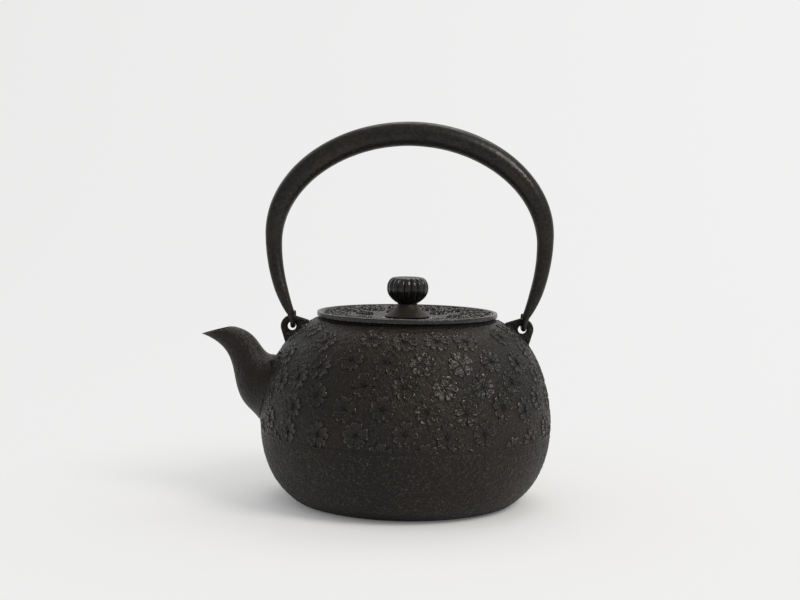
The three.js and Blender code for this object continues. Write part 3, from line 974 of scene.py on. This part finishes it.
def bud_ring(radius, height, depth):
    ring = []
    for turn in (tau * j / BUD_SIDES for j in range(BUD_SIDES)):
        groove = 1 - abs(sin(turn * FLUTES / 2)) ** FLUTE_ROUNDNESS
        ring.append(round_axis(radius - FLUTE_DEPTH * depth * groove, turn, height))
    return np.array(ring)


def lid_knob():
    widest = KNOB_BOTTOM + KNOB_LOWER_HEIGHT
    crown = widest + KNOB_UPPER_HEIGHT
    rings = []
    for share in np.linspace(0, 1, 22) ** 1.35:
        swell = 1 - (1 - share) ** 2.4
        radius = between(NECK_OF_KNOB, KNOB_RADIUS, swell)
        rings.append(bud_ring(radius, KNOB_BOTTOM + KNOB_LOWER_HEIGHT * share, swell))
    for degrees in (12, 24, 36, 48, 60, 70, 80, 90):
        turn = radians(degrees)
        radius = between(CROWN_RADIUS, KNOB_RADIUS, cos(turn))
        rings.append(bud_ring(radius, widest + KNOB_UPPER_HEIGHT * sin(turn), 1))
    for radius, drop, depth in CROWN_HOLLOW:
        rings.append(bud_ring(radius, crown - drop, depth))
    piece = skinned("bud", rings)
    shank = [
        *corner(0, PEEN_BOTTOM, (0, 0), (1.6, 0.05), (2.6, 0.3), (3.2, 0.65), (3.4, 1.05)),
        *corner(0, PEEN_TOP, (3.25, -0.2), (3.0, 0)),
        (SHANK_RADIUS, PEEN_TOP),
        (SHANK_RADIUS, KNOB_BOTTOM + 2),
        (0, KNOB_BOTTOM + 2),
    ]
    joined(piece, [turned("shank", shank, 40)], "UNION")
    piece.name = "fluted_knob"
    x, y, _ = mesh_points(piece).T
    ribs = np.abs(np.sin(np.arctan2(y, x) * FLUTES / 2)) ** 0.8
    store_masks(piece, rib=ribs * (np.hypot(x, y) > NECK_OF_KNOB + 0.1))
    return smooth_shading(piece, 55)


# Bail


def bail_stations():
    """Centre, thickness and hollowness along the right half, from the crown to the hook's tip."""

    def at(out, y, rise):
        return (EAR_X + out, y, EAR_Z + rise)

    crown = EAR_Z + BAIL_RISE
    shank_y = -5.2
    arch = [(0, 0, crown), (38.4, 0, crown), at(10.7, 0, 78.8), at(10.7, 0, 47.1)]
    leg = [at(10.7, 0, 47.1), at(10.7, 0, 31.9), at(6.2, shank_y, 17.8), at(0.9, shank_y, 7.4)]
    stations = []
    for share in np.linspace(0, 1, 84):
        thickness = between(CROWN_THICKNESS, LEG_THICKNESS, share**3.3)
        stations.append((cubic_at(arch, share), thickness, True))
    for share in np.linspace(0, 1, 46)[1:]:
        hollow = share < TUBE_END
        if hollow:
            thickness = between(LEG_THICKNESS, TUBE_END_THICKNESS, share / TUBE_END)
        else:
            drawn = ((share - TUBE_END) / (1 - TUBE_END)) ** 1.2
            thickness = between(TUBE_END_THICKNESS, DRAWN_THICKNESS, drawn)
        stations.append((cubic_at(leg, share), thickness, hollow))
    hook_height = EAR_Z + 0.35
    quarter = [radians(degrees) for degrees in range(0, 91, 9)]
    hook = [(-HOOK_BACK + HOOK_BEND * (1 - cos(turn)), 1 - sin(turn)) for turn in quarter]
    hook += [(HOOK_BACK - HOOK_BEND * (1 - sin(turn)), 1 - cos(turn)) for turn in quarter]
    for y, rise in hook:
        stations.append(((EAR_X, y, hook_height + HOOK_BEND * rise), HOOK_WIRE, False))
    tip = hook_height + HOOK_BEND + 4.4
    for rise, share in ((-1.6, 0.98), (0, 0.9), (0.3, 0.84), (0.58, 0.66), (0.75, 0.4)):
        stations.append(((EAR_X, HOOK_BACK, tip + rise), HOOK_WIRE * share, False))
    return [(np.array(centre, float), thickness, hollow) for centre, thickness, hollow in stations]


def whole_bail():
    """Both halves, each station with its inward and crosswise directions."""
    right = []
    inward = np.array([0.0, 0.0, -1.0])
    stations = bail_stations()
    for i, (centre, *section) in enumerate(stations):
        before = stations[max(i - 1, 0)][0]
        after = stations[min(i + 1, len(stations) - 1)][0]
        along = (after - before) / np.linalg.norm(after - before) if i else np.array([1.0, 0, 0])
        inward = inward - along * (inward @ along)
        inward = inward / np.linalg.norm(inward)
        right.append((centre, inward, np.cross(along, inward), *section))
    flip = np.array([-1.0, 1.0, 1.0])
    left = [(*(arrow * flip for arrow in station[:3]), *station[3:]) for station in right[1:]]
    return left[::-1] + right


def bar_ring(station, radius, sides):
    centre, inward, across = station[:3]
    turns = np.linspace(0, tau, sides, endpoint=False)[:, None]
    return centre + inward * radius * np.cos(turns) + across * radius * np.sin(turns)


def bail_handle():
    stations = whole_bail()
    bar = skinned("iron_bail", [bar_ring(station, station[3] / 2, 44) for station in stations])
    hollow = [station for station in stations if station[4]]
    bore = [bar_ring(station, station[3] / 2 - BAIL_WALL, 20) for station in hollow]
    slit = []
    for centre, inward, across, thickness, _ in hollow:
        near, far = across * SLIT_HALF_WIDTH, inward * (thickness / 2 + 1)
        end = centre + far
        slit.append(np.array([centre - near, end - near, end + near, centre + near]))
    joined(bar, [skinned("bail_bore", bore), skinned("bail_slit", slit)], "DIFFERENCE")
    points = mesh_points(bar) + (BAIL_SHIFT, 0, 0)
    bar.data.vertices.foreach_set("co", (points * MM).ravel())
    return smooth_shading(bar, 42)


# Materials


def mixed_colour(tree, share, first, second):
    inputs = {"Factor": share, 6: first, 7: second}
    return node(tree, "ShaderNodeMix", inputs, data_type="RGBA")[2]


def noise_value(tree, place, per_metre, detail, **more):
    inputs = {"Vector": place, "Scale": per_metre, "Detail": detail, **more}
    return node(tree, "ShaderNodeTexNoise", inputs)["Fac"]


def cast_skin_group():
    """Grainy skin of sand casting: a height, and the flecks where the grains are worn."""
    sizes = {
        "Grains Per Metre": 1000.0,
        "Roughness Of Grain": 0.6,
        "Mask": 1.0,
        "Lumps Per Metre": 380.0,
        "Lumps": 0.3,
    }
    outputs = {"Height": "NodeSocketFloat", "Flecks": "NodeSocketFloat"}
    group, given, results = node_tree("ShaderNodeTree", "cast_skin", sizes, outputs)
    place = node(group, "ShaderNodeTexCoord")["Object"]
    per_metre = given["Grains Per Metre"]
    sand = noise_value(group, place, per_metre, 3.0, Roughness=given["Roughness Of Grain"])
    voronoi = {"Vector": place, "Scale": per_metre, "Randomness": 1.0}
    grains = node(group, "ShaderNodeTexVoronoi", voronoi, feature="SMOOTH_F1")["Distance"]
    lumps = noise_value(group, place, given["Lumps Per Metre"], 2.0)
    bead_height = reckon(group, "SUBTRACT", 0.7, grains)
    mixed = reckon(group, "MULTIPLY_ADD", sand, 0.9, bead_height)
    masked = reckon(group, "MULTIPLY", mixed, given["Mask"])
    height = reckon(group, "MULTIPLY_ADD", lumps, given["Lumps"], masked)
    flecks = reckon(group, "MULTIPLY", ranged(group, mixed, 0.75, 1.15), given["Mask"])
    group.links.new(height, results["Height"])
    group.links.new(flecks, results["Flecks"])
    return group


def iron_tone_group():
    """Baked lacquer over iron: a brown black and a grey black in soft patches, paler where worn."""
    tones = {
        "Warm": (0.02, 0.016, 0.013, 1),
        "Cool": (0.016, 0.016, 0.016, 1),
        "Worn": (0.05, 0.046, 0.042, 1),
        "Wear": 0.0,
        "Patches": 22.0,
        "Sheen": 0.5,
        "Spread": 0.06,
        "Polish": 0.12,
    }
    outputs = {"Color": "NodeSocketColor", "Roughness": "NodeSocketFloat"}
    group, given, results = node_tree("ShaderNodeTree", "iron_tone", tones, outputs)
    place = node(group, "ShaderNodeTexCoord")["Object"]
    patches = noise_value(group, place, given["Patches"], 3.0)
    tone = mixed_colour(group, ranged(group, patches, 0.35, 0.65), given["Cool"], given["Warm"])
    worn_spots = ranged(group, noise_value(group, place, 700.0, 2.0), 0.35, 0.7)
    wear = reckon(group, "MULTIPLY", given["Wear"], worn_spots)
    blotch = ranged(group, patches, 0.3, 0.7, 1.0, -1.0)
    rough = reckon(group, "MULTIPLY_ADD", blotch, given["Spread"], given["Sheen"])
    rough = reckon(group, "SUBTRACT", rough, reckon(group, "MULTIPLY", wear, given["Polish"]))
    group.links.new(mixed_colour(group, wear, tone, given["Worn"]), results["Color"])
    group.links.new(rough, results["Roughness"])
    return group


FLOWER_TREE = blossom_tree(petal(), stamen(), pistil())
CAST_SKIN = cast_skin_group()
IRON_TONE = iron_tone_group()
# The dark tone: real oxide inside the kettle, and painted shade in recesses, in pits and towards
# the foot.
OXIDE_AND_SHADE_TONE = (0.005, 0.0045, 0.004, 1)


def new_material(name):
    material = bpy.data.materials.new(name)
    material.use_nodes = True
    return material, material.node_tree


def iron(name, tones, rough, grain, bump, specular, lumps, wear=0.0, soot=0.0, bare=0.0, **more):
    """One iron finish. Grain, wear, lumps and the share of dark tone (oxide, and painted shade) are
    each an attribute's name or a number.
    """
    material, tree = new_material(name)
    shader = tree.nodes["Principled BSDF"]

    def mask(value):
        if isinstance(value, str):
            return node(tree, "ShaderNodeAttribute", attribute_name=value)["Fac"]
        return value

    def group(kind, inputs):
        return node(tree, "ShaderNodeGroup", inputs, node_tree=kind)

    skin = group(CAST_SKIN, {"Mask": mask(grain), "Lumps": mask(lumps)})
    worn_edges = ranged(tree, mask(wear), 0.45, 0.95) if isinstance(wear, str) else wear
    worn_grains = reckon(tree, "MULTIPLY", skin["Flecks"], 0.35)
    worn_share = reckon(tree, "ADD", worn_edges, worn_grains, use_clamp=True)
    colours = {title: (*value, 1) for title, value in zip(("Warm", "Cool", "Worn"), tones)}
    tone = group(IRON_TONE, {**colours, "Wear": worn_share, "Sheen": rough, **more})
    # Darker and duller where the mask says: oxide inside the kettle, painted shade elsewhere.
    soot_share = mask(soot)
    sooty = mixed_colour(tree, soot_share, tone["Color"], OXIDE_AND_SHADE_TONE)
    tree.links.new(sooty, shader.inputs["Base Color"])
    duller = reckon(tree, "MULTIPLY_ADD", soot_share, 0.25, tone["Roughness"])
    tree.links.new(duller, shader.inputs["Roughness"])
    shader.inputs["Specular IOR Level"].default_value = specular
    if bare:
        tree.links.new(reckon(tree, "MULTIPLY", worn_share, bare), shader.inputs["Metallic"])
    bumps = {"Strength": bump, "Distance": 0.0005, "Height": skin["Height"]}
    tree.links.new(node(tree, "ShaderNodeBump", bumps)["Normal"], shader.inputs["Normal"])
    return material


def dress(piece, material):
    piece.data.materials.clear()
    piece.data.materials.append(material)


# Camera and light


def photo_camera():
    focal_pixels, frame_pixels = 1407.01, 800
    pitch, roll = 0.0801520, 0.0157801
    camera = bpy.data.cameras.new("photo_camera")
    camera.sensor_width = 36
    camera.lens = focal_pixels / frame_pixels * camera.sensor_width
    camera.clip_start = 0.01
    camera.clip_end = 50
    holder = add_object("photo_camera", camera)
    tilt = Matrix.Rotation(pi / 2 - pitch, 4, "X") @ Matrix.Rotation(roll, 4, "Z")
    holder.matrix_world = Matrix.Translation((-4.03 * MM, -750.87 * MM, 167.72 * MM)) @ tilt
    bpy.context.scene.camera = holder


def soft_lamp(name, location, target_height, width, height, watts, color):
    lamp = bpy.data.lights.new(name, "AREA")
    lamp.shape = "RECTANGLE"
    lamp.size = width
    lamp.size_y = height
    lamp.energy = watts
    lamp.color = color
    holder = add_object(name, lamp)
    holder.location = location
    aim = Vector((0, 0, target_height)) - Vector(location)
    holder.rotation_euler = aim.to_track_quat("-Z", "Y").to_euler()


bpy.context.scene.view_settings.view_transform = "Standard"
photo_camera()
soft_lamp("window_right", (1.1, -0.9, 1.35), 0.08, 0.7, 0.7, 20, (1, 0.96, 0.90))
soft_lamp("window_left", (-1.3, 1.0, 0.9), 0.1, 0.7, 1.0, 1.6, (0.86, 0.94, 1))
soft_lamp("window_above", (0.25, 0.8, 1.5), 0.12, 1.2, 0.7, 7, (1, 0.98, 0.95))

world = bpy.data.worlds.new("studio")
bpy.context.scene.world = world
world.use_nodes = True
daylight = world.node_tree.nodes["Background"].inputs
daylight["Color"].default_value = (1, 1, 1, 1)
daylight["Strength"].default_value = 0.45

# The kettle's finishes, each with its warm, cool and worn tones

BODY_IRON = iron(
    "body_iron", ((0.0156, 0.0109, 0.0075), (0.0096, 0.009, 0.0079), (0.1, 0.083, 0.066)),
    rough=0.45, grain="grain", bump=1.0, specular=0.23, lumps="lumps", wear="wear", soot="soot",
)
BLOSSOM_IRON = iron(
    "blossom_iron", ((0.015, 0.0107, 0.0075), (0.0096, 0.0089, 0.008), (0.13, 0.118, 0.103)),
    rough=0.28, grain=0.6, bump=0.8, specular=0.3, lumps=0.8, wear="lift", bare=0.9, Polish=0.16,
)
LID_IRON = iron(
    "lid_iron", ((0.0135, 0.011, 0.0092), (0.0104, 0.01, 0.0095), (0.045, 0.042, 0.038)),
    rough=0.3, grain="grain", bump=0.8, specular=0.5, lumps=0.3,
)
LID_RELIEF_IRON = iron(
    "lid_relief_iron", ((0.014, 0.0112, 0.0092), (0.0105, 0.0101, 0.0095), (0.125, 0.112, 0.095)),
    rough=0.28, grain=0.3, bump=0.5, specular=0.5, lumps=0.0, wear="lift", bare=0.6, Polish=0.1,
)
COLLAR_IRON = iron(
    "collar_iron", ((0.0215, 0.0162, 0.012), (0.016, 0.0142, 0.0122), (0.03, 0.027, 0.023)),
    rough=0.52, grain=0.4, bump=0.9, specular=0.24, lumps=0.3,
)
KNOB_IRON = iron(
    "knob_iron", ((0.0066, 0.0056, 0.0048), (0.0052, 0.0052, 0.0052), (0.015, 0.0126, 0.0105)),
    rough=0.27, grain=0.15, bump=0.7, specular=0.44, lumps=0.6, wear="rib", Polish=0.06,
)
WASHER_IRON = iron(
    "washer_iron", ((0.022, 0.019, 0.017), (0.018, 0.018, 0.018), (0.05, 0.05, 0.05)),
    rough=0.45, grain=0.3, bump=0.5, specular=0.4, lumps=0.1,
)
BAIL_IRON = iron(
    "bail_iron", ((0.0135, 0.0103, 0.0075), (0.0044, 0.0047, 0.0047), (0.042, 0.037, 0.031)),
    rough=0.36, grain=0.12, bump=0.35, specular=0.24, lumps=1.2, wear=0.4,
    Patches=70.0, Spread=0.14,
)

# The kettle

casting = body_casting()
dress(casting, BODY_IRON)
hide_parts("kettle_body")
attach(casting, "kettle")

skin = grain_sheet()
dress(skin, BODY_IRON)
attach(skin, "kettle")

bare_points = {"Petals": 0, "Stamens": 0}
ground = band_ground()
spots = band_spots()
band = {"Inner Edge": SEAM_HEIGHT * MM, "Outer Edge": 96.9 * MM}
blossoms = {"Relief Height": BAND_RELIEF * MM, **band}
specks = {"Relief Height": SPECK_RELIEF * MM, **bare_points, **band}
band_blossoms = relief("band_blossoms", ground, spots, BLOSSOM_IRON, blossoms)
band_specks = relief("band_specks", ground, speck_spots(spots), BLOSSOM_IRON, specks)
bpy.data.objects.remove(ground)
for piece in (band_blossoms, band_specks):
    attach(piece, "kettle")

lid = lid_plate()
dress(lid, LID_IRON)
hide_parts("lid_plate")
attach(lid, "lid")

ground = dish_ground()
spots = lid_spots()
dish = {
    "Cut By Radius": 1.0,
    "Inner Edge": (SEAT_RADIUS + 0.8) * MM,
    "Outer Edge": (DISH_RADIUS - 0.4) * MM,
}
blossoms = {"Relief Height": LID_RELIEF * MM, **dish}
stipple = {"Relief Height": STIPPLE_RELIEF * MM, **bare_points, **dish}
lid_blossoms = relief("lid_blossoms", ground, spots, LID_RELIEF_IRON, blossoms)
lid_stipple = relief("lid_stipple", ground, stipple_spots(spots), LID_RELIEF_IRON, stipple)
bpy.data.objects.remove(ground)
for piece in (lid_blossoms, lid_stipple):
    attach(piece, "lid")
for template in ("petal", "stamen", "pistil"):
    bpy.data.objects.remove(bpy.data.objects[template])

for build, node_name, slot, body, finish in (
    (knob_seat, "knob_seat", "knob_iron", "lid", COLLAR_IRON),
    (knob_washer, "knob_washer", "washer_iron", "lid", WASHER_IRON),
    (lid_knob, "lid_knob", "knob_iron", "knob", KNOB_IRON),
    (bail_handle, "bail_handle", "bail_iron", "bail", BAIL_IRON),
):
    piece = build()
    dress(piece, finish)
    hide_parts(node_name)
    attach(piece, body)


# Floor and backdrop, one sweep


def pale_paper():
    """Paper that keeps the kettle's shadow beside it, and further off shows a glow to the camera
    that lightens the shadow and paints light, darker on the left and lighter on the right.
    """
    material, tree = new_material("pale_paper")
    tree.nodes.remove(tree.nodes["Principled BSDF"])
    paper = node(tree, "ShaderNodeBsdfDiffuse", {"Color": (0.85, 0.85, 0.845, 1)})[0]
    place = node(tree, "ShaderNodeTexCoord")["Object"]
    across = node(tree, "ShaderNodeSeparateXYZ", {0: place})["X"]
    # Painted light: the glow is darker on the left and lighter on the right, as if lit from the
    # right.
    shaded_left_tone, lit_right_tone = (0.835, 0.835, 0.832, 1), (0.895, 0.895, 0.893, 1)
    shade = mixed_colour(tree, ranged(tree, across, -0.9, 0.9), shaded_left_tone, lit_right_tone)
    glow = node(tree, "ShaderNodeEmission", {"Color": shade, "Strength": 1.0})[0]
    seen = node(tree, "ShaderNodeLightPath")
    either = reckon(tree, "ADD", seen["Is Camera Ray"], seen["Is Glossy Ray"], use_clamp=True)
    distance = reckon_vector(tree, "LENGTH", {0: place})["Value"]
    # The glow's share grows away from the kettle, painting light into its shadow further off.
    beside = ranged(tree, distance, 0.056, 0.08, 0.12, 0.43)
    beyond = ranged(tree, distance, 0.08, 0.24, 0.0, 0.54)
    share = reckon(tree, "MULTIPLY", either, reckon(tree, "ADD", beside, beyond))
    mixed = node(tree, "ShaderNodeMixShader", {0: share, 1: paper, 2: glow})[0]
    tree.links.new(mixed, tree.nodes["Material Output"].inputs["Surface"])
    return material


def studio_sweep():
    half_width, front, foot, bend, top = 4000, -2600, 1200, 900, 3500
    profile = [(front, 0.0), (foot - 300, 0.0)]
    for degrees in range(0, 91, 6):
        turn = radians(degrees)
        profile.append((foot + bend * sin(turn), bend - bend * cos(turn)))
    profile.append((foot + bend, top))
    points, faces = [], []
    for y, z in profile:
        points += [(-half_width, y, z), (half_width, y, z)]
    for i in range(len(profile) - 1):
        faces.append((2 * i, 2 * i + 1, 2 * i + 3, 2 * i + 2))
    sweep = add_piece("studio_sweep", points, faces)
    rework(sweep.data, face_upwards)
    sweep.data.shade_smooth()
    dress(sweep, pale_paper())


studio_sweep()
